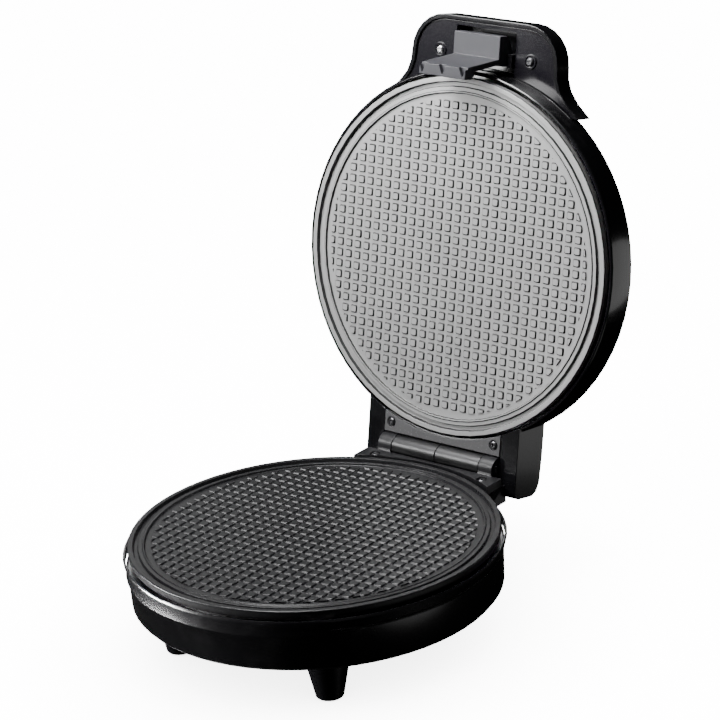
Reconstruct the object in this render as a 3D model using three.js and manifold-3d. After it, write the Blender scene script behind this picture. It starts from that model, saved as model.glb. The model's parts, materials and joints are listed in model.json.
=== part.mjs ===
// Round waffle-cone maker: a footed base with a baking plate, and a hinged lid with the
// matching plate, a grip with its cover panel, and a sprung latch that hooks the base.
// Millimetres, +Z up, floor at z = 0, centre of the lower plate at x = y = 0.
// The latch side is -Y and the hinge side is +Y.
import * as THREE from 'three';
import { mergeVertices } from 'three/addons/utils/BufferGeometryUtils.js';
import Module from 'manifold-3d';

const wasm = await Module();
wasm.setup();

// ---------------------------------------------------------------- sizes
const GAP = 0.3; // clearance between neighbouring pieces
const SEG = 64; // facets round the big turned pieces
const SEG_SMALL = 16; // facets round feet, knuckles and pins
const SEG_SCREW = 12;

// baking plates
const PLATE_R = 111.5;
const PLATE_T = 6.0; // pad level to underside
const PLATE_RIM = 1.0; // rim stands above the pads by this
const PLATE_SKIRT = 5.2; // side wall below the rim
const FIELD_R = PLATE_R - 10.7; // pad field and its plain margin
const FIELD_DROP = 0.6; // field below the pad tops
const RIDGE_W = 1.8;
const BAND_W = 2.2;
const BAND_RISE = 0.2;
const GROOVE_W = 2.8;
const GROOVE_D = 1.4;
const EDGE = 0.5; // slope at ridge and groove edges
const FOOT_RING_R = PLATE_R - 7.5; // ring foot under the plate
const FOOT_RING_W = 3.5;
const FOOT_RING_H = 3.9;
const PLATE_GAP = 0.3; // between the two rims when the lid is shut

// feet and base
const FOOT_H = 28.9;
const BODY_H = 37.6; // top of the feet to the pad tops
const FOOT_TOP_R = 14.2;
const FOOT_TIP_R = 8.4;
const FOOT_PAD_R = 6.0;
const FOOT_PAD_T = 2.3;
const FOOT_STANDOFF = 0.6; // the rubber pad stands below the foot by this
const FRONT_FOOT = [PLATE_R - 54.1, 48 - PLATE_R];
const REAR_FOOT = [36, PLATE_R - 24.5];
const COVER_T = 2.0;
const COVER_SHOW = 1.6; // the bottom cover stands below the housing by this
const WALL = 2.2;
const BASE_BOTTOM_R = PLATE_R + 0.1;
const BASE_WAIST_R = PLATE_R + 0.9;
const BASE_RIM_R = PLATE_R + 3.1;
const BASE_RIM_DROP = 5.5; // casing rim below the plate rim
const LIP_OUT = 3.8; // crescent lip beyond the waist, at the front and the back
const LIP_SHIFT = 8.8;
const LIP_H = 8.8;
const LEDGE_R = PLATE_R - 8.5;
const LEDGE_T = 2.5;
const REFLECTOR_T = 1.2;
const REFLECTOR_DEPTH = 8.8;

// cord gland in the rear wall
const GLAND_R = 6.0;
const GLAND_BORE = 3.5;

// lid
const LID_RIM_R = PLATE_R + 3.7;
const LID_BACK_R = PLATE_R + 1;
const LID_RIM_RISE = 2.7; // lid casing rim above the upper plate's rim
const LID_DEPTH = 28;
const LID_TOP_T = 2.8;

// hinge
const HINGE_Y = PLATE_R + 14;
const HINGE_UP = 0.85; // above the parting plane
const OPEN_DEG = 101.7;
const PIN_R = 3.0;
const BARREL_R = 7.0;
const BARREL_HALF = 33.5;
const EAR_OUT = 44.3;
const PEDESTAL_HALF = 52;
const PEDESTAL_BACK = HINGE_Y - 3.9;
const PEDESTAL_H = 10.9;
const BRACKET_H = 5.4;
const BRACKET_BACK = HINGE_Y - BARREL_R - GAP;
const ARM_IN = 45;
const ARM_OUT = 58;
const ARM_BACK = HINGE_Y + 17.5;
const ARM_H = 27;
const LEAF_T = 2.0;
const LEAF_H = 18;
const HINGE_COVER_T = 2.0;
const HINGE_COVER_SINK = 1.1;
const HINGE_COVER_BACK = HINGE_Y - BARREL_R - 3 * GAP;
const HINGE_SCREW = [39.6, HINGE_Y - 14.2];
const BRACKET_SCREW = [41.4, HINGE_Y - 13.5];
const ROOT_Y = PLATE_R - 19.5; // pieces behind the casings start inside them

// grip
const TAB_HALF = 55;
const TAB_END = PLATE_R + 34.5;
const TAB_CORNER = 24;
const TAB_ROOT_HALF = 73;
const TAB_ROOT_Y = PLATE_R - 18.5;
const TAB_T = 13.3;
const TAB_WALL = 3.0;
const PANEL_T = 2.0;
const PANEL_SINK = 1.5;
const PANEL_SCREW = [34, PLATE_R + 12];
const POST_R = 4.0;
const COLLAR_H = 0.8;

// latch
const LATCH_HALF = 17.3;
const LATCH_PIN_Y = -(PLATE_R + 11);
const LATCH_PIN_R = 2.0;
const LUG_T = 4.0;
const COIL_R = 3.4;
const COIL_TURNS = 4;
const WIRE_R = 0.6;
const SLOT_HALF = 6.5;
const NOTCH_AT = LATCH_HALF - 2.3;
const NOTCH_HALF = 3.2;
const NOTCH_D = 2.6;

// small screws
const HEAD_R = 2.8;
const HEAD_T = 1.6;
const SHANK_R = 1.6;
const SINK_R = HEAD_R + GAP + 0.2;
const SINK_D = 2.0;

// ---------------------------------------------------------------- levels
const housingBottom = FOOT_H + GAP + COVER_SHOW;
const coverBottom = FOOT_H + GAP;
const padLevel = FOOT_H + BODY_H;
const rimTop = padLevel + PLATE_RIM;
const parting = rimTop + PLATE_GAP / 2;
const baseRim = rimTop - BASE_RIM_DROP;
const lipBottom = baseRim - LIP_H;
const plateUnder = padLevel - PLATE_T;
const reflectorRim = plateUnder - FOOT_RING_H - GAP - REFLECTOR_T;
const ledgeTop = reflectorRim - GAP;
const hingeZ = parting + HINGE_UP;
const lidRim = 2 * parting - rimTop + LID_RIM_RISE;
const lidBack = lidRim + LID_DEPTH;
const lidCeiling = lidBack - LID_TOP_T;
const mirrorZ = (z) => 2 * parting - z;
const tabFront = lidBack - TAB_T;
const tabCeiling = lidBack - TAB_WALL;
const panelFront = tabFront + PANEL_SINK;
const latchPinZ = lidBack - 10;
const pedestalTop = hingeZ - BARREL_R - 0.6;
const bracketBottom = pedestalTop + GAP;
const glandCollarR = GLAND_R + 3.4;
const glandZ = pedestalTop - PEDESTAL_H - glandCollarR - 2 * GAP;
const coverFace = parting + 0.45;
const hingeScrewSeat = coverFace + HINGE_COVER_SINK - 0.2;
const bossBottom = coverFace + HINGE_COVER_T + GAP;
const bossBack = HINGE_COVER_BACK + 0.7;
const wallInR = BASE_WAIST_R + 0.8; // inside of the casing round both plates

// ---------------------------------------------------------------- solids
function solid(geometry) {
  const g = geometry.clone();
  g.deleteAttribute('normal');
  g.deleteAttribute('uv');
  const m = mergeVertices(g, 1e-4);
  const mesh = new wasm.Mesh({
    numProp: 3,
    vertProperties: new Float32Array(m.attributes.position.array),
    triVerts: new Uint32Array(m.index.array),
  });
  mesh.merge();
  return new wasm.Manifold(mesh);
}

function geometryOf(manifold) {
  const mesh = manifold.getMesh();
  const g = new THREE.BufferGeometry();
  g.setAttribute('position', new THREE.BufferAttribute(new Float32Array(mesh.vertProperties), 3));
  g.setIndex(new THREE.BufferAttribute(new Uint32Array(mesh.triVerts), 1));
  const flat = g.toNonIndexed();
  flat.computeVertexNormals();
  return flat;
}

// turned about Z from [radius, height] points; heights run upwards on the outside
function turned(points, segments = SEG) {
  const outline = points.map(([r, z]) => new THREE.Vector2(r, z));
  if (outline[0].x > 0 || outline[outline.length - 1].x > 0) {
    outline.push(outline[0].clone());
  }
  const g = new THREE.LatheGeometry(outline, segments);
  g.rotateX(Math.PI / 2);
  const made = solid(g);
  return made.volume() < 0 ? solid(g.clone().scale(1, -1, 1)) : made;
}

function box(x0, x1, y0, y1, z0, z1) {
  const g = new THREE.BoxGeometry(x1 - x0, y1 - y0, z1 - z0);
  g.translate((x0 + x1) / 2, (y0 + y1) / 2, (z0 + z1) / 2);
  return solid(g);
}

function disc(r, x, y, z0, z1, segments = SEG) {
  const g = new THREE.CylinderGeometry(r, r, z1 - z0, segments);
  g.rotateX(Math.PI / 2);
  g.translate(x, y, (z0 + z1) / 2);
  return solid(g);
}

// round bar along X
function bar(r, y, z, x0, x1, segments = SEG_SMALL) {
  const g = new THREE.CylinderGeometry(r, r, x1 - x0, segments);
  g.rotateZ(Math.PI / 2);
  g.translate((x0 + x1) / 2, y, z);
  return solid(g);
}

// outline in X and Y, raised between two heights
function raised(points, z0, z1) {
  const shape = new THREE.Shape(points.map(([x, y]) => new THREE.Vector2(x, y)));
  const g = new THREE.ExtrudeGeometry(shape, { depth: z1 - z0, bevelEnabled: false });
  g.translate(0, 0, z0);
  return solid(g);
}

// outline in Y and Z, carried along X
function carried(points, x0, x1) {
  const shape = new THREE.Shape(points.map(([y, z]) => new THREE.Vector2(y, z)));
  const g = new THREE.ExtrudeGeometry(shape, { depth: x1 - x0, bevelEnabled: false });
  g.rotateZ(Math.PI / 2);
  g.rotateY(Math.PI / 2);
  g.translate(x0, 0, 0);
  return solid(g);
}

function all(first, ...rest) {
  return rest.reduce((sum, next) => sum.add(next), first);
}

function material(color, roughness, metalness) {
  return new THREE.MeshStandardMaterial({ color, roughness, metalness });
}

const blackPlastic = () => material(0x1b1b1d, 0.38, 0.0);
const bottomPlastic = () => material(0x232325, 0.6, 0.0);
const panelPlastic = () => material(0x2c2b30, 0.45, 0.0);
const rubber = () => material(0x141414, 0.9, 0.0);
const darkCoat = () => material(0x2f3033, 0.42, 0.35);
const greyCoat = () => material(0xa9aaac, 0.42, 0.45);
const satinSteel = () => material(0x3a3a3e, 0.32, 0.8);
const brightSteel = () => material(0xc9c9cc, 0.28, 0.9);
const aluminised = () => material(0xb8babd, 0.35, 0.8);
const sheath = () => material(0x6c6a66, 0.5, 0.6);
const coverGrey = () => material(0x9b9c9e, 0.5, 0.4);
const ceramic = () => material(0xe6e1d6, 0.7, 0.0);

function piece(name, shape, look) {
  const mesh = new THREE.Mesh(shape.isBufferGeometry ? shape : geometryOf(shape), look);
  mesh.name = name;
  return mesh;
}

// ---------------------------------------------------------------- plates and heat
// The pads are shallow, so the field is one level halfway between pad tops and channels.
function plateOutline() {
  const field = padLevel - FIELD_DROP;
  const ridgeTop = rimTop - 0.2;
  const ridgeOut = FIELD_R + RIDGE_W;
  const band = padLevel + BAND_RISE;
  const grooveIn = ridgeOut + BAND_W;
  const grooveOut = grooveIn + GROOVE_W;
  const grooveBottom = padLevel - GROOVE_D;
  const ringBottom = plateUnder - FOOT_RING_H;
  return [
    [0, plateUnder],
    [FOOT_RING_R - FOOT_RING_W, plateUnder],
    [FOOT_RING_R - FOOT_RING_W, ringBottom],
    [FOOT_RING_R, ringBottom],
    [FOOT_RING_R + EDGE, plateUnder + EDGE],
    [PLATE_R - 5 * EDGE, rimTop - PLATE_SKIRT],
    [PLATE_R - EDGE, rimTop - PLATE_SKIRT],
    [PLATE_R, rimTop - EDGE],
    [PLATE_R - EDGE, rimTop],
    [grooveOut + EDGE, rimTop],
    [grooveOut, grooveBottom],
    [grooveIn + EDGE, grooveBottom],
    [grooveIn, band],
    [ridgeOut, band],
    [ridgeOut - EDGE, ridgeTop],
    [FIELD_R + EDGE, ridgeTop],
    [FIELD_R, field],
    [0, field],
  ];
}

function mirrored(points) {
  return points.map(([r, z]) => [r, mirrorZ(z)]);
}

// open ring of sheathed tube with both ends turned in towards the middle
class RingPath extends THREE.Curve {
  constructor(radius, z, sweep) {
    super();
    this.radius = radius;
    this.z = z;
    this.sweep = sweep;
  }

  getPoint(t, target = new THREE.Vector3()) {
    const a = (t - 0.5) * this.sweep - Math.PI / 2;
    return target.set(this.radius * Math.cos(a), this.radius * Math.sin(a), this.z);
  }
}

function tube(path, r, sides, steps) {
  const ring = [];
  for (let i = 0; i < sides; i += 1) {
    const a = (i / sides) * 2 * Math.PI;
    ring.push(new THREE.Vector2(r * Math.cos(a), r * Math.sin(a)));
  }
  return new THREE.ExtrudeGeometry(new THREE.Shape(ring), { steps, extrudePath: path, bevelEnabled: false });
}

function heatingElement(name, z) {
  const elementR = PLATE_R - 39.5;
  const sweep = (320 * Math.PI) / 180;
  return piece(name, solid(tube(new RingPath(elementR, z, sweep), 3.2, 8, 40)), sheath());
}

function reflectorOutline() {
  const floor = reflectorRim - REFLECTOR_DEPTH;
  const floorR = LEDGE_R - 13;
  const shoulderR = LEDGE_R - 5;
  const rimR = wallInR - 1.6;
  return [
    [0, floor],
    [floorR, floor],
    [shoulderR, reflectorRim],
    [rimR, reflectorRim],
    [rimR, reflectorRim + REFLECTOR_T],
    [shoulderR - EDGE, reflectorRim + REFLECTOR_T],
    [floorR - EDGE, floor + REFLECTOR_T],
    [0, floor + REFLECTOR_T],
  ];
}

// Phillips screw, head down or up, its seat at the given height
function screw(name, x, y, seat, up, length) {
  const dir = up ? 1 : -1;
  const head = [
    [0, seat],
    [HEAD_R, seat],
    [HEAD_R - 0.2, seat + dir * HEAD_T * 0.6],
    [HEAD_R - 1.0, seat + dir * HEAD_T],
    [0, seat + dir * HEAD_T],
  ];
  const shank = disc(SHANK_R, 0, 0, Math.min(seat + dir * 0.4, seat - dir * length),
    Math.max(seat + dir * 0.4, seat - dir * length), SEG_SCREW);
  const crossTop = seat + dir * (HEAD_T + 1);
  const crossEnd = seat + dir * 0.5;
  const low = Math.min(crossTop, crossEnd);
  const high = Math.max(crossTop, crossEnd);
  const cross = box(-1.5, 1.5, -0.3, 0.3, low, high).add(box(-0.3, 0.3, -1.5, 1.5, low, high));
  const made = turned(head, SEG_SCREW).add(shank).subtract(cross).translate([x, y, 0]);
  return piece(name, made, brightSteel());
}

// ---------------------------------------------------------------- base
// Crescent lip: a shallow cone turned about an axis moved towards the lip's side.
function lip(side) {
  const r = BASE_WAIST_R + LIP_OUT - LIP_SHIFT;
  const top = BASE_RIM_R - 0.6 - LIP_SHIFT;
  const cone = turned([[0, lipBottom], [r, lipBottom], [r, lipBottom + 0.6], [top, baseRim], [0, baseRim]]);
  return cone.translate([0, side * LIP_SHIFT, 0]);
}

function baseHousing() {
  const outer = turned([
    [0, housingBottom],
    [BASE_BOTTOM_R - 1.2, housingBottom],
    [BASE_BOTTOM_R, housingBottom + 1.4],
    [BASE_WAIST_R, lipBottom],
    [BASE_WAIST_R + 0.8, lipBottom + 2.6],
    [BASE_RIM_R, baseRim - 1.2],
    [BASE_RIM_R - 0.7, baseRim],
    [0, baseRim],
  ]);
  const pedestal = box(-PEDESTAL_HALF, PEDESTAL_HALF, ROOT_Y, PEDESTAL_BACK, pedestalTop - PEDESTAL_H, pedestalTop);
  const inside = turned([
    [0, housingBottom - 1],
    [BASE_BOTTOM_R - WALL, housingBottom - 1],
    [BASE_WAIST_R - WALL, ledgeTop - LEDGE_T],
    [LEDGE_R, ledgeTop - LEDGE_T],
    [LEDGE_R, ledgeTop],
    [wallInR, ledgeTop],
    [wallInR, baseRim + 5],
    [0, baseRim + 5],
  ]);
  const holeR = GLAND_R + GAP;
  const cordHole = solid(new THREE.CylinderGeometry(holeR, holeR, 24, SEG_SMALL)).translate([0, BASE_WAIST_R, glandZ]);
  let body = all(outer, pedestal, lip(-1), lip(1)).subtract(inside).subtract(cordHole);
  for (const side of [-1, 1]) {
    body = body.subtract(disc(SHANK_R + GAP, side * BRACKET_SCREW[0], BRACKET_SCREW[1], pedestalTop - 8,
      pedestalTop + 1, SEG_SCREW));
  }
  return piece('base_housing', body, blackPlastic());
}

function bottomCover() {
  const r = BASE_BOTTOM_R - WALL - GAP;
  return piece('bottom_cover', disc(r, 0, 0, coverBottom, coverBottom + COVER_T, SEG), bottomPlastic());
}

function foot(name, x, y) {
  const profile = [
    [0, FOOT_STANDOFF + FOOT_PAD_T],
    [FOOT_PAD_R + GAP, FOOT_STANDOFF + FOOT_PAD_T],
    [FOOT_PAD_R + GAP, FOOT_STANDOFF],
    [FOOT_TIP_R - 0.6, FOOT_STANDOFF],
    [FOOT_TIP_R, FOOT_STANDOFF + 0.9],
    [FOOT_TOP_R, FOOT_H],
    [0, FOOT_H],
  ];
  return piece(name, turned(profile, SEG_SMALL + 4).translate([x, y, 0]), blackPlastic());
}

function footPad(name, x, y) {
  return piece(name, disc(FOOT_PAD_R, x, y, 0, FOOT_PAD_T, SEG_SMALL), rubber());
}

// one block on the pedestal with an ear at each end that carries the hinge pin
function hingeBracket() {
  const top = bracketBottom + BRACKET_H;
  const block = box(-PEDESTAL_HALF, PEDESTAL_HALF, ROOT_Y, BRACKET_BACK, bracketBottom, top);
  let body = block.subtract(disc(BASE_RIM_R + 4 * GAP, 0, 0, bracketBottom - 1, top + 1));
  for (const side of [-1, 1]) {
    const x0 = side > 0 ? BARREL_HALF + GAP : -EAR_OUT;
    const x1 = side > 0 ? EAR_OUT : -BARREL_HALF - GAP;
    const web = carried([
      [HINGE_Y - 17, bracketBottom],
      [HINGE_Y + 5, bracketBottom],
      [HINGE_Y + 5, hingeZ],
      [HINGE_Y - 6, hingeZ + 2],
      [HINGE_Y - 8, top],
      [HINGE_Y - 17, top],
    ], x0, x1).subtract(disc(BASE_RIM_R + 4 * GAP, 0, 0, bracketBottom - 1, top + 1));
    body = all(body, web, bar(BARREL_R + 0.2, HINGE_Y, hingeZ, x0, x1, SEG_SMALL + 4));
    const sx = side * BRACKET_SCREW[0];
    body = body.subtract(disc(SINK_R, sx, BRACKET_SCREW[1], top - SINK_D, top + 1, SEG_SMALL));
    body = body.subtract(disc(SHANK_R + GAP, sx, BRACKET_SCREW[1], bracketBottom - 1, top, SEG_SCREW));
  }
  const bore = bar(PIN_R + GAP, HINGE_Y, hingeZ, -60, 60);
  const trim = box(-60, 60, ROOT_Y, ARM_BACK, bracketBottom - 20, bracketBottom);
  return piece('hinge_bracket', body.subtract(bore).subtract(trim), darkCoat());
}

function cordGland() {
  const seat = BASE_WAIST_R + 2 * GAP;
  const profile = [
    [GLAND_BORE, seat - 8],
    [GLAND_R, seat - 8],
    [GLAND_R, seat],
    [glandCollarR, seat],
    [glandCollarR - 0.5, seat + 3],
    [GLAND_R - 0.4, seat + 5],
    [GLAND_BORE, seat + 5],
  ];
  const made = turned(profile, SEG_SMALL).rotate([-90, 0, 0]).translate([0, 0, glandZ]);
  return piece('cord_gland', made, rubber());
}

function terminalBlock() {
  const z0 = coverBottom + COVER_T + GAP;
  let body = box(-18, 18, 52, 66, z0, z0 + 10);
  for (const x of [-10, 0, 10]) {
    body = body.subtract(box(x - 2.6, x + 2.6, 49, 69, z0 + 4, z0 + 12));
  }
  return piece('terminal_block', body, ceramic());
}

function thermostat() {
  const top = plateUnder - GAP;
  const body = disc(13, 0, 0, top - 5, top, SEG_SMALL + 4).add(disc(8.5, 0, 0, top - 9.5, top - 5, SEG_SMALL + 4));
  return piece('thermostat', body, ceramic());
}

function thermalFuse() {
  const top = plateUnder - GAP;
  const body = box(28, 46, -5, 5, top - 1.6, top).add(box(31, 43, -3, 3, top - 6, top - 1.6));
  return piece('thermal_fuse', body, aluminised());
}

// ---------------------------------------------------------------- lid, drawn shut
function tabOutline(inset) {
  const half = TAB_HALF - inset;
  const end = TAB_END - inset;
  const corner = TAB_CORNER - inset;
  const flare = [[TAB_ROOT_HALF - inset, -TAB_ROOT_Y],
    [half + 8.5, -(PLATE_R - 10.5)], [half + 3, -(PLATE_R - 3.5)], [half + 0.5, -(PLATE_R + 3.5)]];
  const points = [...flare];
  for (const side of [1, -1]) {
    for (let i = 0; i <= 6; i += 1) {
      const a = (i / 6) * (Math.PI / 2);
      const t = side > 0 ? a : Math.PI / 2 - a;
      points.push([side * (half - corner + corner * Math.cos(t)), -(end - corner + corner * Math.sin(t))]);
    }
  }
  points.push(...flare.reverse().map(([x, y]) => [-x, y]));
  return points.reverse();
}

function lidHousing() {
  const outer = turned([
    [0, lidRim],
    [LID_RIM_R - 0.8, lidRim],
    [LID_RIM_R, lidRim + 0.8],
    [LID_BACK_R + 1.6, lidBack - 5.5],
    [LID_BACK_R - 1.4, lidBack - 1.4],
    [LID_BACK_R - 5, lidBack],
    [0, lidBack],
  ]);
  const ledge = mirrorZ(ledgeTop);
  const inside = turned([
    [0, lidRim - 8],
    [wallInR, lidRim - 8],
    [wallInR, ledge],
    [LEDGE_R, ledge],
    [LEDGE_R, ledge + LEDGE_T],
    [LID_BACK_R - 1.4, ledge + LEDGE_T],
    [LID_BACK_R - 4.4, lidCeiling],
    [0, lidCeiling],
  ]);
  const pocket = raised(tabOutline(TAB_WALL), tabFront - 1, tabCeiling)
    .subtract(disc(LID_RIM_R - 0.3, 0, 0, tabFront - 2, lidBack, SEG));
  let grip = raised(tabOutline(0), tabFront, lidBack - 0.4).subtract(pocket);
  for (const side of [-1, 1]) {
    const x = side * PANEL_SCREW[0];
    const panelBack = panelFront + PANEL_T + GAP;
    grip = grip.add(disc(POST_R, x, -PANEL_SCREW[1], panelBack, tabCeiling + 0.5, SEG_SCREW));
    grip = grip.subtract(disc(SHANK_R + GAP, x, -PANEL_SCREW[1], panelBack - 1, tabCeiling - 0.6, SEG_SCREW));
    const lug0 = side > 0 ? LATCH_HALF + GAP + 0.3 : -LATCH_HALF - GAP - 0.3 - LUG_T;
    grip = grip.add(box(lug0, lug0 + LUG_T, LATCH_PIN_Y - 4.2, LATCH_PIN_Y + 4.2, latchPinZ - 4.2, tabCeiling + 0.5));
  }
  grip = grip.subtract(bar(LATCH_PIN_R + GAP, LATCH_PIN_Y, latchPinZ, -30, 30, SEG_SCREW));

  const boss = box(-ARM_IN - 1, ARM_IN + 1, ROOT_Y, bossBack, bossBottom, bossBottom + 22);
  const hood = box(-ARM_IN - 1, ARM_IN + 1, ROOT_Y, ARM_BACK - 3, hingeZ + ARM_H - 5, hingeZ + ARM_H - 2);
  let back = all(boss, hood);
  for (const side of [-1, 1]) {
    const x0 = side > 0 ? ARM_IN : -ARM_OUT;
    back = back.add(carried([
      [ROOT_Y, hingeZ],
      [ARM_BACK - 5, hingeZ],
      [ARM_BACK - 1.5, hingeZ + 1.6],
      [ARM_BACK, hingeZ + 5],
      [ARM_BACK, hingeZ + ARM_H - 8],
      [ARM_BACK - 2.5, hingeZ + ARM_H - 3.5],
      [ARM_BACK - 8, hingeZ + ARM_H - 1],
      [HINGE_Y - 7.5, hingeZ + ARM_H],
      [ROOT_Y, hingeZ + ARM_H],
    ], x0, x0 + ARM_OUT - ARM_IN));
  }
  let body = all(outer, grip, back).subtract(inside);
  for (const side of [-1, 1]) {
    body = body.subtract(disc(SHANK_R + GAP, side * HINGE_SCREW[0], HINGE_SCREW[1], bossBottom - 1,
      bossBottom + 8, SEG_SCREW));
  }
  return piece('lid_housing', body, blackPlastic());
}

function hingeCover() {
  const half = ARM_IN - GAP - 0.1;
  let body = box(-half, half, ROOT_Y, HINGE_COVER_BACK, coverFace, coverFace + HINGE_COVER_T)
    .subtract(disc(PLATE_R + 1.9, 0, 0, coverFace - 1, coverFace + HINGE_COVER_T + 1));
  for (const side of [-1, 1]) {
    const x = side * HINGE_SCREW[0];
    body = body.subtract(disc(SINK_R, x, HINGE_SCREW[1], coverFace - 1, coverFace + HINGE_COVER_SINK, SEG_SMALL));
    body = body.subtract(disc(SHANK_R + GAP, x, HINGE_SCREW[1], coverFace, coverFace + 9, SEG_SCREW));
  }
  return piece('hinge_cover', body, coverGrey());
}

// half of the hinge barrel with its flat leaf up the back of the lid's boss
function hingeLeaf(name, side) {
  const x0 = side > 0 ? 0.25 : -BARREL_HALF;
  const x1 = side > 0 ? BARREL_HALF : -0.25;
  const leafY = bossBack + GAP;
  const body = bar(BARREL_R, HINGE_Y, hingeZ, x0, x1, SEG_SMALL + 8)
    .add(box(x0 + 2 * (side > 0), x1 - 2 * (side < 0), leafY, leafY + LEAF_T, hingeZ, hingeZ + LEAF_H))
    .subtract(bar(PIN_R + GAP, HINGE_Y, hingeZ, x0 - 1, x1 + 1));
  return piece(name, body, satinSteel());
}

function handlePanel() {
  const notchHalf = LATCH_HALF + GAP + LUG_T + 0.8;
  let body = raised(tabOutline(TAB_WALL + GAP), panelFront, panelFront + PANEL_T)
    .subtract(disc(LID_RIM_R, 0, 0, panelFront - 1, panelFront + PANEL_T + 1))
    .subtract(box(-notchHalf, notchHalf, LATCH_PIN_Y - 17.5, -ROOT_Y, panelFront - 1, panelFront + PANEL_T + 1));
  for (const side of [-1, 1]) {
    const x = side * PANEL_SCREW[0];
    const y = -PANEL_SCREW[1];
    const collar = disc(SINK_R + 1.2, x, y, panelFront - COLLAR_H, panelFront + EDGE, SEG_SMALL + 4)
      .subtract(disc(SINK_R, x, y, panelFront - COLLAR_H - 1, panelFront, SEG_SMALL + 4));
    body = body.add(collar);
    body = body.subtract(disc(SHANK_R + GAP, x, y, panelFront - 1, panelFront + PANEL_T + 1, SEG_SCREW));
  }
  return piece('handle_panel', body, panelPlastic());
}

// finger block, hook plate and hook, with a slot round the pin for the spring
function latch() {
  const y = (out) => LATCH_PIN_Y + out;
  const hookTop = lipBottom - 0.4;
  const hookEnd = lipBottom - 9.7;
  const blockFront = latchPinZ - 11.3;
  let body = carried([
    [y(-14.9), blockFront],
    [y(-1), blockFront],
    [y(2.7), hookEnd],
    [y(9.6), hookEnd],
    [y(9.6), hookEnd + 6],
    [y(8.3), hookTop],
    [y(5.4), hookTop],
    [y(2.8), blockFront - 2.7],
    [y(3.9), latchPinZ - 4],
    [y(3.9), latchPinZ + 3],
    [y(-4.5), latchPinZ + 3.5],
    [y(-14.9), latchPinZ - 4],
  ], -LATCH_HALF, LATCH_HALF);
  for (const x of [-NOTCH_AT, 0, NOTCH_AT]) {
    const notch = [[x - NOTCH_HALF, y(1.5)], [x + NOTCH_HALF, y(1.5)], [x, y(8.5)]];
    body = body.subtract(raised(notch, hookEnd - 1, hookEnd + NOTCH_D));
  }
  body = body.subtract(box(-SLOT_HALF, SLOT_HALF, y(-5.5), y(12.5), latchPinZ - 5, latchPinZ + 8));
  const bore = bar(LATCH_PIN_R + GAP, LATCH_PIN_Y, latchPinZ, -2 * LATCH_HALF, 2 * LATCH_HALF, SEG_SCREW);
  return piece('latch', body.subtract(bore), blackPlastic());
}

function latchPin() {
  const half = LATCH_HALF + GAP + LUG_T;
  return piece('latch_pin', bar(LATCH_PIN_R, LATCH_PIN_Y, latchPinZ, -half, half, SEG_SCREW), brightSteel());
}

class CoilPath extends THREE.Curve {
  getPoint(t, target = new THREE.Vector3()) {
    const a = t * COIL_TURNS * 2 * Math.PI;
    const x = (2 * t - 1) * (SLOT_HALF - 1.5);
    return target.set(x, LATCH_PIN_Y + COIL_R * Math.cos(a), latchPinZ + COIL_R * Math.sin(a));
  }
}

function latchSpring() {
  return piece('latch_spring', solid(tube(new CoilPath(), WIRE_R, 5, 44)), brightSteel());
}

// ---------------------------------------------------------------- put together
const machine = new THREE.Group();
machine.name = 'waffle_maker';

const base = new THREE.Group();
base.name = 'base';
base.add(baseHousing(), bottomCover(), hingeBracket());
for (const [end, x, y] of [['front_left', -1, FRONT_FOOT], ['front_right', 1, FRONT_FOOT],
  ['rear_left', -1, REAR_FOOT], ['rear_right', 1, REAR_FOOT]]) {
  base.add(foot(`foot_${end}`, x * y[0], y[1]));
  base.add(footPad(`foot_pad_${end}`, x * y[0], y[1]));
}
base.add(piece('lower_plate', turned(plateOutline()), darkCoat()));
base.add(heatingElement('lower_element', plateUnder - GAP - 3.2));
base.add(piece('lower_reflector', turned(reflectorOutline(), 48), aluminised()));
base.add(thermostat(), thermalFuse(), terminalBlock(), cordGland());
for (const [name, side] of [['bracket_screw_left', -1], ['bracket_screw_right', 1]]) {
  const seat = bracketBottom + BRACKET_H - SINK_D + 0.1;
  base.add(screw(name, side * BRACKET_SCREW[0], BRACKET_SCREW[1], seat, true, 8));
}
base.add(piece('hinge_pin', bar(PIN_R, HINGE_Y, hingeZ, -EAR_OUT, EAR_OUT), brightSteel()));
machine.add(base);

const shut = new THREE.Group();
shut.name = 'lid_shut';
shut.position.set(0, -HINGE_Y, -hingeZ);
shut.add(lidHousing());
shut.add(piece('upper_plate', turned(mirrored(plateOutline()).reverse()), greyCoat()));
shut.add(heatingElement('upper_element', mirrorZ(plateUnder) + GAP + 3.2));
shut.add(piece('upper_reflector', turned(mirrored(reflectorOutline()).reverse(), 48), aluminised()));
shut.add(hingeCover(), handlePanel());
for (const [tag, side] of [['left', -1], ['right', 1]]) {
  shut.add(screw(`hinge_cover_screw_${tag}`, side * HINGE_SCREW[0], HINGE_SCREW[1], hingeScrewSeat, false, 6));
  shut.add(screw(`handle_screw_${tag}`, side * PANEL_SCREW[0], -PANEL_SCREW[1], panelFront - 0.1, false, 6));
  shut.add(hingeLeaf(`hinge_leaf_${tag}`, side));
}
shut.add(latch(), latchPin(), latchSpring());

const lid = new THREE.Group();
lid.name = 'lid';
lid.position.set(0, HINGE_Y, hingeZ);
lid.rotation.x = (-OPEN_DEG * Math.PI) / 180;
lid.add(shut);
machine.add(lid);

// the frame's origin is on the floor under the middle of the whole machine with its lid open
const extent = new THREE.Box3().setFromObject(machine, true);
machine.position.y = -(extent.min.y + extent.max.y) / 2;

export default machine;
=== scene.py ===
"""Looks of a round waffle-cone maker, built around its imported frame."""

import json
import math

import bpy
from mathutils import Matrix, Vector


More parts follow.
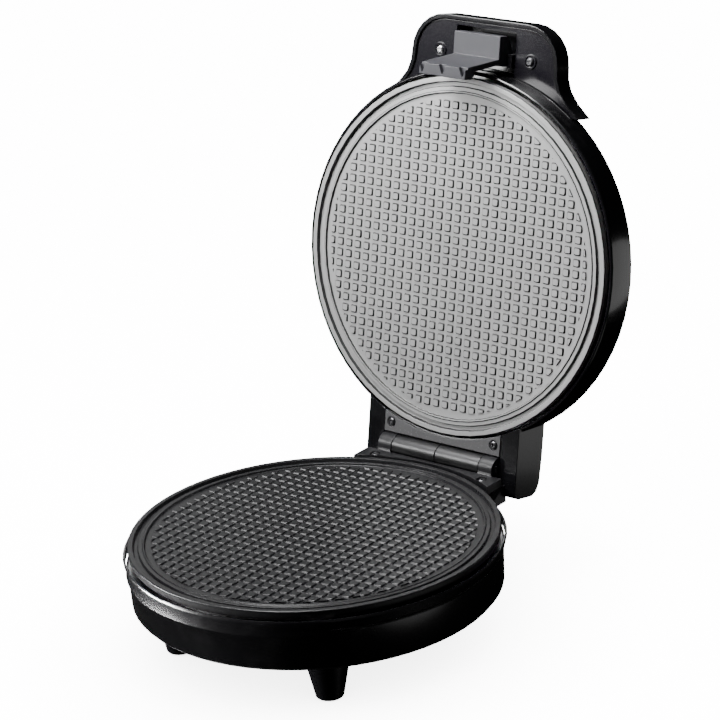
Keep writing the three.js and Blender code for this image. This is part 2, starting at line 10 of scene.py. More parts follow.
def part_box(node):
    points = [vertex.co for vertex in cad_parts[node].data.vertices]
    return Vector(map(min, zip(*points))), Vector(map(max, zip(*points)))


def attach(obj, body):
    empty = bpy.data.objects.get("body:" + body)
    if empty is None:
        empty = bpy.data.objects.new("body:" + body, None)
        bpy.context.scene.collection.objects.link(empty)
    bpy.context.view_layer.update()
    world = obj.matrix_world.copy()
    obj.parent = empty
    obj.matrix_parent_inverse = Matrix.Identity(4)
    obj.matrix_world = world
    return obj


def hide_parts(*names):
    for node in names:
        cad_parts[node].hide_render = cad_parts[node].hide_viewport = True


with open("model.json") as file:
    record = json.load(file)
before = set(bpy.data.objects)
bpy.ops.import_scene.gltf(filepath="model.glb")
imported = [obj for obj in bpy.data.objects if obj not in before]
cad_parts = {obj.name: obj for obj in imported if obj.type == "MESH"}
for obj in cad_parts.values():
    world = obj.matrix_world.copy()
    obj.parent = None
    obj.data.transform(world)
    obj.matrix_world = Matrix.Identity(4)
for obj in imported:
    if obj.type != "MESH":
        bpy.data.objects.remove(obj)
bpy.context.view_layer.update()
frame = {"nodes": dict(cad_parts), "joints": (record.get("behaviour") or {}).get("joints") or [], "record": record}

bl_info = {
    "name": "Waffle-cone maker",
    "version": (1, 0, 0),
    "blender": (4, 5, 0),
    "location": "View3D > Sidebar > Cone Maker",
    "description": "Casings, baking plates, hinge, latch and studio of a waffle-cone maker",
    "category": "Object",
}

MM = 0.001
JOINTS = {joint["name"]: joint for joint in frame["joints"]}
HINGE = Vector(JOINTS["lid_hinge"]["pos_m"])
OPEN_ANGLE = math.radians(max(JOINTS["lid_hinge"]["range_deg"]))
PLATE_LOW, PLATE_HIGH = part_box("lower_plate")
CENTRE = (PLATE_LOW + PLATE_HIGH) / 2
RIM_TOP = PLATE_HIGH.z
PARTING = RIM_TOP + 0.15 * MM
PAD_LEVEL = RIM_TOP - 1.0 * MM
FIELD_RADIUS = 100.8 * MM
CAD_FIELD_DROP = 0.6 * MM
SNAP = 0.01 * MM  # a point this near a level lies on it
MERGE = 0.002 * MM
FLAT = math.radians(0.6)  # triangles turned less than this are one face
EDGE_STEPS = 2
WALL_RISE = (-0.1, 0.93)  # a face whose upward share lies between is a wall

PAD_ROWS = 28
UPPER_PAD_COLUMNS = 29
PAD_SINK = 0.3 * MM  # a pad's foot goes this far into the plate
PAD_CORNER = 0.7 * MM
PAD_EDGE = 0.14 * MM

FLOOR_SIZE = 14
FLOOR_DROP = 0.2 * MM
DOME_RADIUS = 6.9

# The lid is drawn shut and turned open about the hinge.
LID_OPEN = (
    Matrix.Translation(HINGE)
    @ Matrix.Rotation(-OPEN_ANGLE, 4, "X")
    @ Matrix.Translation(-HINGE)
)
FACE_DOWN_CENTRE = Vector((CENTRE.x, CENTRE.y, PARTING))
FACE_DOWN = (
    Matrix.Translation(FACE_DOWN_CENTRE)
    @ Matrix.Rotation(math.pi, 4, "X")
    @ Matrix.Translation(-FACE_DOWN_CENTRE)
)


# ------------------------------------------------------------------ settings
class PatternSettings(bpy.types.PropertyGroup):
    pitch: bpy.props.FloatProperty(
        name="Pad pitch", description="Distance from pad to pad", default=6.9 * MM, unit="LENGTH"
    )
    lower_foot: bpy.props.FloatProperty(
        name="Lower foot",
        description="Width of a lower pad at its foot",
        default=6.2 * MM,
        unit="LENGTH",
    )
    lower_top: bpy.props.FloatProperty(
        name="Lower top",
        description="Width of a lower pad's flat top",
        default=4.9 * MM,
        unit="LENGTH",
    )
    upper_foot: bpy.props.FloatProperty(
        name="Upper foot",
        description="Width of an upper pad at its foot",
        default=5.5 * MM,
        unit="LENGTH",
    )
    upper_top: bpy.props.FloatProperty(
        name="Upper top",
        description="Width of an upper pad's flat top",
        default=3.9 * MM,
        unit="LENGTH",
    )
    depth: bpy.props.FloatProperty(
        name="Channel depth",
        description="Pad top to channel floor",
        default=0.85 * MM,
        unit="LENGTH",
    )
    field: bpy.props.FloatProperty(
        name="Field radius",
        description="Circle that trims the outer pads",
        default=97.2 * MM,
        unit="LENGTH",
    )


class FinishSettings(bpy.types.PropertyGroup):
    casing: bpy.props.FloatVectorProperty(
        name="Casing", description="Moulded casing", subtype="COLOR", size=4, default=(
            0.006, 0.006, 0.007, 1
        )
    )
    panel: bpy.props.FloatVectorProperty(
        name="Handle panel", description="Panel inside the grip", subtype="COLOR", size=4,
        default=(0.006, 0.0055, 0.008, 1),
    )
    upper_plate: bpy.props.FloatVectorProperty(
        name="Upper plate", description="Coat of the lid's plate", subtype="COLOR", size=4,
        default=(0.46, 0.46, 0.46, 1),
    )
    lower_plate: bpy.props.FloatVectorProperty(
        name="Lower plate", description="Coat of the base's plate", subtype="COLOR", size=4,
        default=(0.012, 0.012, 0.013, 1),
    )
    cover: bpy.props.FloatVectorProperty(
        name="Hinge cover", description="Plate under the hinge screws", subtype="COLOR", size=4,
        default=(0.12, 0.12, 0.123, 1),
    )


class StudioSettings(bpy.types.PropertyGroup):
    azimuth: bpy.props.FloatProperty(
        name="Azimuth",
        description="Camera round from the front",
        default=math.radians(39.746),
        subtype="ANGLE",
    )
    elevation: bpy.props.FloatProperty(
        name="Elevation",
        description="Camera above the horizon",
        default=math.radians(20.951),
        subtype="ANGLE",
    )
    roll: bpy.props.FloatProperty(
        name="Roll",
        description="Camera turn about its view",
        default=math.radians(-4.085),
        subtype="ANGLE",
    )
    camera: bpy.props.FloatVectorProperty(
        name="Camera",
        description="Camera from the middle of the lower plate, on the floor",
        subtype="XYZ",
        size=3, unit="LENGTH", default=(1.0984, -1.2670, 0.8147),
    )
    lens: bpy.props.FloatProperty(
        name="Lens", description="Focal length on a 36 mm sensor", default=154.27
    )
    key: bpy.props.FloatProperty(
        name="Key light", description="Power of the front-left panel", default=9.0
    )
    lid: bpy.props.FloatProperty(
        name="Lid light", description="Power of the panel over the lid", default=5.0
    )
    lip: bpy.props.FloatProperty(
        name="Lip light", description="Power of the low panel by the lip", default=3.0
    )
    side: bpy.props.FloatProperty(
        name="Side light", description="Power of the low right panel", default=0.4
    )
    rim: bpy.props.FloatProperty(
        name="Rim light", description="Power of the low rear right panel", default=0.6
    )
    rear: bpy.props.FloatProperty(
        name="Rear light", description="Power of the rear left panel", default=0.35
    )
    top: bpy.props.FloatProperty(
        name="Top light", description="Power of the top light", default=22.0
    )
    sky: bpy.props.FloatProperty(
        name="Sky", description="Strength of the surroundings", default=0.25
    )
    floor: bpy.props.FloatProperty(
        name="Floor glow", description="White of the floor", default=15.0
    )


# ------------------------------------------------------------------ materials
class Maths:
    """A node socket that takes Python's arithmetic."""

    def __init__(self, tree, socket):
        self.tree = tree
        self.socket = socket

    def _join(self, kind, *values):
        node = self.tree.nodes.new("ShaderNodeMath")
        node.operation = kind
        for slot, value in zip(node.inputs, values):
            if isinstance(value, Maths):
                self.tree.links.new(value.socket, slot)
            else:
                slot.default_value = value
        return Maths(self.tree, node.outputs[0])

    def __add__(self, other):
        return self._join("ADD", self, other)

    def __radd__(self, other):
        return self._join("ADD", other, self)

    def __sub__(self, other):
        return self._join("SUBTRACT", self, other)

    def __rsub__(self, other):
        return self._join("SUBTRACT", other, self)

    def __mul__(self, other):
        return self._join("MULTIPLY", self, other)

    def __rmul__(self, other):
        return self._join("MULTIPLY", other, self)

    def above(self, edge, width):
        """0 below the edge and 1 above it, with a soft step."""
        node = self.tree.nodes.new("ShaderNodeMapRange")
        node.interpolation_type = "SMOOTHSTEP"
        node.inputs["From Min"].default_value = edge - width
        node.inputs["From Max"].default_value = edge + width
        self.tree.links.new(self.socket, node.inputs["Value"])
        return Maths(self.tree, node.outputs["Result"])


class Finish:
    """One material and its Principled shader, with object coordinates at hand."""

    def __init__(self, name):
        self.material = bpy.data.materials.new(name)
        self.material.use_nodes = True
        self.tree = self.material.node_tree
        self.shader = self.tree.nodes["Principled BSDF"]
        self.place = self.node("ShaderNodeTexCoord").outputs["Object"]

    def node(self, kind, settings=None, **inputs):
        made = self.tree.nodes.new(kind)
        for name, value in (settings or {}).items():
            setattr(made, name, value)
        for name, value in inputs.items():
            self.feed(made.inputs[name.replace("_", " ")], value)
        return made

    def feed(self, slot, value):
        if isinstance(value, Maths):
            self.tree.links.new(value.socket, slot)
        elif isinstance(value, bpy.types.NodeSocket):
            self.tree.links.new(value, slot)
        else:
            slot.default_value = value

    def mapped(self, scale):
        return self.node("ShaderNodeMapping", Vector=self.place, Scale=scale).outputs[0]

    def noise(self, scale, detail=3.0, roughness=0.55, vector=None):
        made = self.node(
            "ShaderNodeTexNoise",
            Vector=vector or self.place,
            Scale=scale,
            Detail=detail,
            Roughness=roughness,
        )
        return Maths(self.tree, made.outputs[0])

    def cells(self, scale):
        made = self.node("ShaderNodeTexVoronoi", {"feature": "F1"}, Vector=self.place, Scale=scale)
        return Maths(self.tree, made.outputs["Distance"])

    def blend(self, amount, first, second):
        made = self.tree.nodes.new("ShaderNodeMix")
        made.data_type = "RGBA"
        self.feed(made.inputs[0], amount)
        self.feed(made.inputs[6], first)
        self.feed(made.inputs[7], second)
        return made.outputs[2]

    def bump(self, height, distance, strength=1.0):
        made = self.node("ShaderNodeBump", Height=height, Distance=distance, Strength=strength)
        self.feed(self.shader.inputs["Normal"], made.outputs[0])

    def set(self, **inputs):
        for name, value in inputs.items():
            self.feed(self.shader.inputs[name.replace("_", " ")], value)


def shaded(colour, factor):
    return tuple(min(1.0, part * factor) for part in colour[:3]) + (1.0,)


def plastic(name, colour, rough, coat=0.0, grain=0.00001, coat_rough=0.08):
    """Moulded plastic: faint flow marks, dust in patches, fine scuffs and a light grain."""
    skin = Finish(name)
    flow = skin.noise(9.0, 4.0)
    dust = skin.noise(38.0, 6.0, 0.7).above(0.62, 0.16)
    scuff = skin.noise(60.0, 5.0, 0.6, skin.mapped((1, 9, 2))).above(0.70, 0.05)
    fine = skin.noise(2200.0, 2.0)
    tone = skin.blend(flow, shaded(colour, 0.8), shaded(colour, 1.25))
    tone = skin.blend(dust * 0.10, tone, (0.10, 0.10, 0.10, 1))
    skin.set(
        Base_Color=tone,
        Roughness=rough - 0.02 + flow * 0.04 + dust * 0.03 + scuff * 0.05,
        Coat_Weight=coat,
        Coat_Roughness=coat_rough,
        IOR=1.5,
    )
    skin.bump(fine + 2.0 * flow, grain, 0.5)
    return skin.material


def coating(name, colour, rough, metal, speck, light):
    """Cast plate under a speckled non-stick coat, with baked-on tints and fine scratches."""
    skin = Finish(name)
    wide = skin.noise(12.0, 4.0)
    stain = skin.noise(31.0, 6.0, 0.65).above(0.60, 0.12)
    specks = 1.0 - skin.cells(1500.0).above(0.22, 0.09)
    chosen = skin.noise(900.0, 1.0).above(0.56, 0.05)
    scratch = skin.noise(70.0, 4.0, 0.5, skin.mapped((1, 14, 1))).above(0.71, 0.03)
    grit = skin.noise(2600.0, 3.0, 0.7)
    tone = skin.blend(wide, shaded(colour, 0.88), shaded(colour, 1.12))
    tone = skin.blend(stain * 0.18, tone, shaded(colour, 0.6))
    tone = skin.blend(specks * chosen * speck, tone, light)
    skin.set(
        Base_Color=tone,
        Roughness=rough + wide * 0.06 - scratch * 0.08 + grit * 0.05,
        Metallic=metal,
        IOR=1.5,
    )
    skin.bump(grit + wide, 0.00003, 0.6)
    return skin.material


def metal(name, colour, rough, brushed=(1, 1, 1), wear=0.1):
    """Bare or plated metal: brush lines, dull patches and small marks."""
    skin = Finish(name)
    lines = skin.noise(420.0, 4.0, 0.6, skin.mapped(brushed))
    dull = skin.noise(45.0, 5.0, 0.6).above(0.55, 0.2)
    marks = skin.noise(300.0, 3.0, 0.7).above(0.68, 0.06)
    tone = skin.blend(lines, shaded(colour, 0.85), shaded(colour, 1.12))
    tone = skin.blend(marks * wear, tone, shaded(colour, 0.4))
    skin.set(Base_Color=tone, Roughness=rough + dull * 0.08 + lines * 0.06, Metallic=1.0)
    skin.bump(lines + marks, 0.00002, 0.5)
    return skin.material


def rubber(name, colour):
    skin = Finish(name)
    grain = skin.noise(1500.0, 4.0)
    dust = skin.noise(90.0, 5.0, 0.7).above(0.55, 0.2)
    skin.set(
        Base_Color=skin.blend(dust * 0.4, colour, shaded(colour, 3.0)),
        Roughness=0.75 + grain * 0.15,
    )
    skin.bump(grain, 0.00004, 0.8)
    return skin.material


def ceramic(name, colour):
    skin = Finish(name)
    grain = skin.noise(1100.0, 4.0)
    stain = skin.noise(70.0, 5.0).above(0.5, 0.25)
    skin.set(
        Base_Color=skin.blend(stain * 0.5, colour, shaded(colour, 0.75)),
        Roughness=0.6 + grain * 0.2,
    )
    skin.bump(grain, 0.00004, 0.8)
    return skin.material


MATERIALS = {}


def finishes():
    """Makes each finish once and keeps it by name."""
    if MATERIALS:
        return MATERIALS
    look = bpy.context.scene.cone_finish
    MATERIALS.update(
        gloss=plastic("casing_gloss", look.casing, 0.16, 0.4),
        satin=plastic("casing_satin", look.casing, 0.24, 1.0, coat_rough=0.2),
        # Painted light: the latch takes the casing colour made seven times lighter, standing in for the light on
        # its faces.
        matt=plastic("latch_matt_painted_light", shaded(look.casing, 7.0), 0.42, 0.0, 0.00003),
        panel=plastic("panel_plastic", look.panel, 0.16, 0.1),
        lower=coating("lower_coat", look.lower_plate, 0.34, 0.15, 0.5, (0.13, 0.13, 0.135, 1)),
        upper=coating("upper_coat", look.upper_plate, 0.40, 0.35, 0.5, (0.75, 0.75, 0.75, 1)),
        # Painted highlight: the lower plate's sloped walls get its coat made 1.5 times lighter, with lighter
        # specks and a glossier finish.
        lower_wall=coating(
            "lower_wall_painted_highlight", shaded(look.lower_plate, 1.5), 0.22, 0.3, 0.3, (0.2, 0.2, 0.2, 1)
        ),
        # Painted shade: the upper plate's sloped walls get its coat at 0.09 of its colour, with darker specks,
        # drawing a dark outline round each pad.
        upper_wall=coating(
            "upper_wall_painted_shade", shaded(look.upper_plate, 0.09), 0.45, 0.3, 0.3, (0.3, 0.3, 0.3, 1)
        ),
        cover=coating("cover_coat", look.cover, 0.45, 0.3, 0.6, (0.5, 0.5, 0.5, 1)),
        dark=metal("dark_satin_metal", (0.07, 0.07, 0.071, 1), 0.33, (1, 12, 12)),
        bracket=plastic("bracket_coat", shaded(look.casing, 1.3), 0.4, 0.0, 0.00003),
        screw=metal("screw_black_steel", (0.14, 0.14, 0.145, 1), 0.3, (4, 4, 1), 0.3),
        bright=metal("bright_steel", (0.72, 0.72, 0.73, 1), 0.2, (4, 4, 1), 0.3),
        sheet=metal("reflector_sheet", (0.78, 0.78, 0.79, 1), 0.25, (1, 8, 1)),
        tube=metal("element_sheath", (0.30, 0.29, 0.27, 1), 0.45, (2, 2, 2), 0.4),
        bottom=coating(
            "bottom_paint", (0.05, 0.05, 0.053, 1), 0.45, 0.1, 0.3, (0.14, 0.14, 0.14, 1)
        ),
        rubber=rubber("foot_rubber", (0.012, 0.012, 0.012, 1)),
        ceramic=ceramic("ceramic_body", (0.78, 0.74, 0.66, 1)),
    )
    return MATERIALS


# ------------------------------------------------------------------ modelling
def deselect():
    if bpy.context.object and bpy.context.object.mode != "OBJECT":
        bpy.ops.object.mode_set(mode="OBJECT")
    bpy.ops.object.select_all(action="DESELECT")


def activate(piece):
    deselect()
    piece.select_set(True)
    bpy.context.view_layer.objects.active = piece


def apply_all(piece):
    activate(piece)
    for modifier in list(piece.modifiers):
        bpy.ops.object.modifier_apply(modifier=modifier.name)


def dress(piece, material):
    piece.data.materials.clear()
    piece.data.materials.append(material)


def dress_walls(piece, material, turn):
    """Gives the faces that slope up to a plate's level ones a second material: a copy of the plate's coat with
    painted light, lighter on the lower plate and darker on the upper.
    """
    piece.data.materials.append(material)
    back = turn.to_3x3().inverted()
    for face in piece.data.polygons:
        if WALL_RISE[0] < (back @ face.normal).z < WALL_RISE[1]:
            face.material_index = 1


def node_body(node):
    for name, nodes in frame["record"]["behaviour"]["bodies"].items():
        if node in nodes:
            return name
    raise RuntimeError(f"no body holds {node}")


def node_slot(node):
    for part in frame["record"]["subparts"]:
        if part["node"] == node:
            return part["material_slot"]
    raise RuntimeError(f"no slot is stated for {node}")


def merged_copy(node, name):
    """A copy of a node of the frame with its loose triangles joined into faces."""
    source = frame["nodes"][node]
    piece = source.copy()
    piece.data = source.data.copy()
    piece.name = name
    piece.data.name = name
    bpy.context.collection.objects.link(piece)
    activate(piece)
    bpy.ops.object.mode_set(mode="EDIT")
    bpy.ops.mesh.select_all(action="SELECT")
    bpy.ops.mesh.remove_doubles(threshold=MERGE)
    bpy.ops.mesh.dissolve_limited(angle_limit=FLAT)
    bpy.ops.object.mode_set(mode="OBJECT")
    return piece


def softened(piece, bevel, smooth=32.0, sharper_than=38.0):
    """Rounds the edges by bevel millimetres, or leaves them, and smooths the turned faces."""
    if bevel:
        edge = piece.modifiers.new("edges", "BEVEL")
        edge.width = bevel * MM
        edge.segments = EDGE_STEPS
        edge.limit_method = "ANGLE"
        edge.angle_limit = math.radians(sharper_than)
        edge.use_clamp_overlap = False
        edge.miter_outer = "MITER_ARC"
        apply_all(piece)
    activate(piece)
    bpy.ops.object.shade_smooth_by_angle(angle=math.radians(smooth))
    if bevel:
        weights = piece.modifiers.new("weights", "WEIGHTED_NORMAL")
        weights.keep_sharp = True
        apply_all(piece)


def stand_for(piece, node, material):
    dress(piece, material)
    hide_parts(node)
    node_slot(node)
    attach(piece, node_body(node))


def finished_copy(node, material, bevel=0.3, **options):
    piece = merged_copy(node, node + "_look")
    softened(piece, bevel, **options)
    stand_for(piece, node, material)


def place_in_mesh(piece, matrix):
    activate(piece)
    piece.matrix_world = matrix
    bpy.ops.object.transform_apply(location=True, rotation=True, scale=True)


# ------------------------------------------------------------------ operators
class CONE_OT_casings(bpy.types.Operator):
    """Base casing, bottom cover, feet, lid casing and the panel in its grip"""

    bl_idname = "cone.casings"
    bl_label = "Casings"

    def execute(self, context):
        look = finishes()
        finished_copy("base_housing", look["satin"], 0)
        finished_copy("lid_housing", look["gloss"], 0.45)
        finished_copy("bottom_cover", look["bottom"], 0.3)
        finished_copy("handle_panel", look["panel"], 0.25)
        for end in ("front_left", "front_right", "rear_left", "rear_right"):
            finished_copy(f"foot_{end}", look["satin"], 0.5, smooth=40)
            finished_copy(f"foot_pad_{end}", look["rubber"], 0.3)
        finished_copy("cord_gland", look["rubber"], 0.3)
        return {"FINISHED"}


class CONE_OT_plates(bpy.types.Operator):
    """Both baking plates, with their channels cut to full depth"""

    bl_idname = "cone.plates"
    bl_label = "Baking plates"

    def execute(self, context):
        look = finishes()
        deepen = context.scene.cone_pattern.depth - CAD_FIELD_DROP
        for half, turn in (("lower", Matrix.Identity(4)), ("upper", LID_OPEN @ FACE_DOWN)):
            node = half + "_plate"
            piece = merged_copy(node, node + "_look")
            back = turn.inverted()
            for vertex in piece.data.vertices:
                spot = back @ vertex.co
                level = abs(spot.z - (PAD_LEVEL - CAD_FIELD_DROP)) < 0.05 * MM
                inside = math.hypot(spot.x - CENTRE.x, spot.y - CENTRE.y) < FIELD_RADIUS + 0.1 * MM
                vertex.select = level and inside
            activate(piece)
            bpy.ops.object.mode_set(mode="EDIT")
            down = turn.to_3x3() @ Vector((0, 0, -deepen))
            bpy.ops.transform.translate(value=down)
            bpy.ops.object.mode_set(mode="OBJECT")
            softened(piece, 0.25, sharper_than=25.0)
            stand_for(piece, node, look[half])
            # The plate's sloped faces get the painted-light copy of its coat.
            dress_walls(piece, look[half + "_wall"], turn)
        return {"FINISHED"}


class CONE_OT_pads(bpy.types.Operator):
    """The square pads that stand in both plates"""

    bl_idname = "cone.pads"
    bl_label = "Pads"

    def pad(self, name, foot, top, columns):
        pattern = bpy.context.scene.cone_pattern
        deep = pattern.depth + PAD_SINK
        first = Vector((
            CENTRE.x - (columns - 1) / 2 * pattern.pitch,
            CENTRE.y - (PAD_ROWS - 1) / 2 * pattern.pitch,
            PAD_LEVEL - deep / 2,
        ))
        deselect()
        bpy.ops.mesh.primitive_cube_add(size=1, location=first)
        piece = bpy.context.object
        piece.name = name
        piece.data.name = name
        piece.scale = (foot, foot, deep)
        bpy.ops.object.transform_apply(location=True, rotation=True, scale=True)
        bpy.ops.object.mode_set(mode="EDIT")
        bpy.ops.mesh.select_mode(type="VERT")
        bpy.ops.mesh.select_all(action="DESELECT")
        bpy.ops.object.mode_set(mode="OBJECT")
        for vertex in piece.data.vertices:
            vertex.select = vertex.co.z > PAD_LEVEL - SNAP
        bpy.ops.object.mode_set(mode="EDIT")
        narrow = top / foot
        bpy.ops.transform.resize(
            value=(narrow, narrow, 1),
            center_override=(first.x, first.y, PAD_LEVEL),
            orient_type="GLOBAL",
        )
        bpy.ops.mesh.select_all(action="DESELECT")
        bpy.ops.mesh.select_mode(type="EDGE")
        bpy.ops.object.mode_set(mode="OBJECT")
        for edge in piece.data.edges:
            low, high = (piece.data.vertices[i].co for i in edge.vertices)
            edge.select = abs(low.z - high.z) > deep / 2
        bpy.ops.object.mode_set(mode="EDIT")
        bpy.ops.mesh.bevel(offset=PAD_CORNER, segments=2, affect="EDGES")
        bpy.ops.mesh.select_all(action="DESELECT")
        bpy.ops.object.mode_set(mode="OBJECT")
        for edge in piece.data.edges:
            low, high = (piece.data.vertices[i].co for i in edge.vertices)
            edge.select = min(low.z, high.z) > PAD_LEVEL - SNAP
        bpy.ops.object.mode_set(mode="EDIT")
        bpy.ops.mesh.bevel(offset=PAD_EDGE, segments=1, affect="EDGES")
        bpy.ops.object.mode_set(mode="OBJECT")
        for axis, number in ((0, columns), (1, PAD_ROWS)):
            row = piece.modifiers.new("row", "ARRAY")
            row.count = number
            row.use_relative_offset = False
            row.use_constant_offset = True
            row.constant_offset_displace = [pattern.pitch if i == axis else 0 for i in range(3)]
        apply_all(piece)
        return piece

    def trim(self, piece):
        pattern = bpy.context.scene.cone_pattern
        deselect()
        bpy.ops.mesh.primitive_cylinder_add(
            vertices=96, radius=pattern.field, depth=20 * MM, location=(
                CENTRE.x, CENTRE.y, PAD_LEVEL
            )
        )
        cutter = bpy.context.object
        cut = piece.modifiers.new("field", "BOOLEAN")
        cut.operation = "INTERSECT"
        cut.object = cutter
        cut.solver = "MANIFOLD"
        apply_all(piece)
        bpy.data.objects.remove(cutter)

    def execute(self, context):
        look = finishes()
        pattern = context.scene.cone_pattern
        for half, foot, top, columns, turn in (
            ("lower", pattern.lower_foot, pattern.lower_top, PAD_ROWS, Matrix.Identity(4)),
            (
                "upper",
                pattern.upper_foot,
                pattern.upper_top,
                UPPER_PAD_COLUMNS,
                LID_OPEN @ FACE_DOWN,
            ),
        ):
            node = half + "_plate"
            piece = self.pad(half + "_pads", foot, top, columns)
            self.trim(piece)
            place_in_mesh(piece, turn)
            softened(piece, 0, smooth=20)
            dress(piece, look[half])
            # The pads' sloped walls get the painted-light copy of the coat: lighter on the lower plate, darker on
            # the upper.
            dress_walls(piece, look[half + "_wall"], turn)
            node_slot(node)
            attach(piece, node_body(node))
        return {"FINISHED"}


class CONE_OT_hinge(bpy.types.Operator):
    """Bracket, pin, knuckles and the cover with its screws"""

    bl_idname = "cone.hinge"
    bl_label = "Hinge"

    def execute(self, context):
        look = finishes()
        finished_copy("hinge_bracket", look["bracket"], 0.4)
        finished_copy("hinge_pin", look["bright"], 0.3)
        finished_copy("hinge_cover", look["cover"], 0.25)
        for side in ("left", "right"):
            finished_copy(f"hinge_leaf_{side}", look["dark"], 0.3)
            finished_copy(f"bracket_screw_{side}", look["screw"], 0.12)
            finished_copy(f"hinge_cover_screw_{side}", look["screw"], 0.12)
        finished_copy("handle_screw_left", look["bright"], 0.12)
        finished_copy("handle_screw_right", look["screw"], 0.12)
        return {"FINISHED"}


class CONE_OT_latch(bpy.types.Operator):
    """Latch, its pin and its spring"""

    bl_idname = "cone.latch"
    bl_label = "Latch"

    def execute(self, context):
        look = finishes()
        finished_copy("latch", look["matt"], 0.4)
        finished_copy("latch_pin", look["bright"], 0.2)
        finished_copy("latch_spring", look["bright"], 0)
        return {"FINISHED"}


class CONE_OT_inside(bpy.types.Operator):
    """Heating elements, reflectors and the electrical pieces"""

    bl_idname = "cone.inside"
    bl_label = "Inside"

    def execute(self, context):
        look = finishes()
        for half in ("lower", "upper"):
            finished_copy(f"{half}_element", look["tube"], 0, smooth=50)
            finished_copy(f"{half}_reflector", look["sheet"], 0.2)
        finished_copy("thermostat", look["ceramic"], 0.3)
        finished_copy("terminal_block", look["ceramic"], 0.3)
        finished_copy("thermal_fuse", look["sheet"], 0.2)
        return {"FINISHED"}


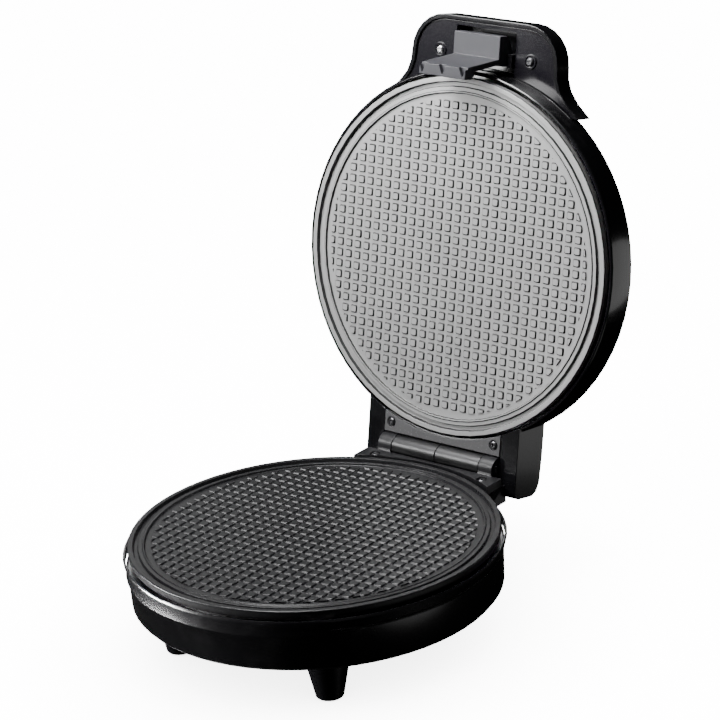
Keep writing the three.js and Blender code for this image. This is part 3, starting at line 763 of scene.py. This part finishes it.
class CONE_OT_stage(bpy.types.Operator):
    """Floor, lights, surroundings and camera"""

    bl_idname = "cone.stage"
    bl_label = "Stage"

    def light(self, name, power, size, place, aim):
        lamp = bpy.data.lights.new(name, "AREA")
        lamp.shape = "ELLIPSE"
        lamp.size, lamp.size_y = size
        lamp.energy = power
        holder = bpy.data.objects.new(name, lamp)
        bpy.context.collection.objects.link(holder)
        holder.location = place
        holder.visible_camera = False
        holder.rotation_mode = "QUATERNION"
        holder.rotation_quaternion = (Vector(aim) - Vector(place)).to_track_quat("-Z", "Y")
        return holder

    def panel(self, name, power, size, azimuth, elevation, distance, aim):
        """A soft panel, placed by its angles from its aim; azimuth 0 is the front, 90 the right."""
        turn, rise = math.radians(azimuth), math.radians(elevation)
        away = Vector(
            (math.sin(turn) * math.cos(rise), -math.cos(turn) * math.cos(rise), math.sin(rise))
        )
        return self.light(name, power, size, aim + distance * away, aim)

    def execute(self, context):
        studio = context.scene.cone_studio
        deselect()
        bpy.ops.mesh.primitive_plane_add(size=FLOOR_SIZE, location=(0, 0, -FLOOR_DROP))
        floor = context.object
        floor.name = "floor"
        skin = Finish("floor_white")
        cloud = skin.noise(1.5, 3.0)
        # Painted shadow: an ambient-occlusion mask darkens the floor's glow near the object, down to a quarter, as
        # a soft contact shadow.
        near = skin.node("ShaderNodeAmbientOcclusion", Distance=0.10).outputs["AO"]
        skin.set(
            Base_Color=skin.blend(cloud, (0.36, 0.36, 0.36, 1), (0.40, 0.40, 0.40, 1)),
            Roughness=0.2,
            IOR=1.3,
            Emission_Color=skin.blend(near, (0.25, 0.25, 0.25, 1), (1, 1, 1, 1)),
            Emission_Strength=studio.floor,
        )
        bpy.ops.mesh.primitive_uv_sphere_add(segments=48, ring_count=24, radius=DOME_RADIUS)
        dome = context.object
        dome.name = "dome"
        for ground in (floor, dome):
            dress(ground, skin.material)
            ground.visible_glossy = False
            ground.visible_diffuse = False
            ground.visible_shadow = False

        world = bpy.data.worlds.new("surroundings")
        world.use_nodes = True
        nodes, links = world.node_tree.nodes, world.node_tree.links
        place = nodes.new("ShaderNodeTexCoord")
        parts = nodes.new("ShaderNodeSeparateXYZ")
        links.new(place.outputs["Generated"], parts.inputs[0])
        rise = Maths(world.node_tree, parts.outputs["Z"]).above(0.52, 0.18) * studio.sky + 0.02
        links.new(rise.socket, nodes["Background"].inputs["Strength"])
        context.scene.world = world

        half = Vector((CENTRE.x, CENTRE.y, 0.05))
        lid = Vector((0, 0.10, 0.22))
        above = (-0.2, CENTRE.y - 0.2, 2.2)
        self.light("top_light", studio.top, (1.8, 1.8), above, (0, CENTRE.y, 0))
        self.panel("key_light", studio.key, (0.4, 0.3), -44, 30, 1.2, half)
        self.panel("lid_light", studio.lid, (0.25, 0.25), -35, 55, 0.42, Vector((0, 0.13, 0.28)))
        front = Vector((0, CENTRE.y - 0.115, 0.057))
        low = self.panel("lip_light", studio.lip, (0.5, 0.09), -42, -5, 0.4, front)
        low.rotation_quaternion = Vector((1.0, 0.2, 0.1)).to_track_quat("-Z", "Y")
        low.data.spread = math.radians(75)
        self.panel("side_light", studio.side, (1.0, 0.4), 98, -30, 1.0, half)
        self.panel("rim_light", studio.rim, (0.8, 0.5), 145, -18, 1.2, lid)
        self.panel("rear_light", studio.rear, (0.4, 0.3), -118, 24, 0.7, half)

        out = Vector((
            math.sin(studio.azimuth) * math.cos(studio.elevation),
            -math.cos(studio.azimuth) * math.cos(studio.elevation),
            math.sin(studio.elevation),
        ))
        side = (-out).cross(Vector((0, 0, 1))).normalized()
        rise = side.cross(-out)
        right = math.cos(studio.roll) * side + math.sin(studio.roll) * rise
        up = -math.sin(studio.roll) * side + math.cos(studio.roll) * rise
        lens = bpy.data.cameras.new("camera")
        lens.lens = studio.lens
        lens.sensor_width = 36
        holder = bpy.data.objects.new("camera", lens)
        context.collection.objects.link(holder)
        turn = Matrix((right, up, out)).transposed().to_4x4()
        spot = Vector(studio.camera) + Vector((CENTRE.x, CENTRE.y, 0))
        holder.matrix_world = Matrix.Translation(spot) @ turn
        context.scene.camera = holder
        return {"FINISHED"}


class CONE_PT_panel(bpy.types.Panel):
    """Lists every step of the cone maker"""

    bl_idname = "CONE_PT_panel"
    bl_label = "Cone Maker"
    bl_space_type = "VIEW_3D"
    bl_region_type = "UI"
    bl_category = "Cone Maker"

    def draw(self, context):
        for kind in STEPS:
            self.layout.operator(kind.bl_idname)
        for group in ("cone_pattern", "cone_finish", "cone_studio"):
            settings = getattr(context.scene, group)
            for name in settings.__annotations__:
                self.layout.prop(settings, name)


STEPS = (
    CONE_OT_casings,
    CONE_OT_plates,
    CONE_OT_pads,
    CONE_OT_hinge,
    CONE_OT_latch,
    CONE_OT_inside,
    CONE_OT_stage,
)
CLASSES = (PatternSettings, FinishSettings, StudioSettings, *STEPS, CONE_PT_panel)


def register():
    for kind in CLASSES:
        bpy.utils.register_class(kind)
    bpy.types.Scene.cone_pattern = bpy.props.PointerProperty(type=PatternSettings)
    bpy.types.Scene.cone_finish = bpy.props.PointerProperty(type=FinishSettings)
    bpy.types.Scene.cone_studio = bpy.props.PointerProperty(type=StudioSettings)


def unregister():
    del bpy.types.Scene.cone_studio
    del bpy.types.Scene.cone_finish
    del bpy.types.Scene.cone_pattern
    for kind in reversed(CLASSES):
        bpy.utils.unregister_class(kind)


def main():
    register()
    bpy.ops.cone.casings()
    bpy.ops.cone.plates()
    bpy.ops.cone.pads()
    bpy.ops.cone.hinge()
    bpy.ops.cone.latch()
    bpy.ops.cone.inside()
    bpy.ops.cone.stage()


if __name__ == "__main__":
    main()
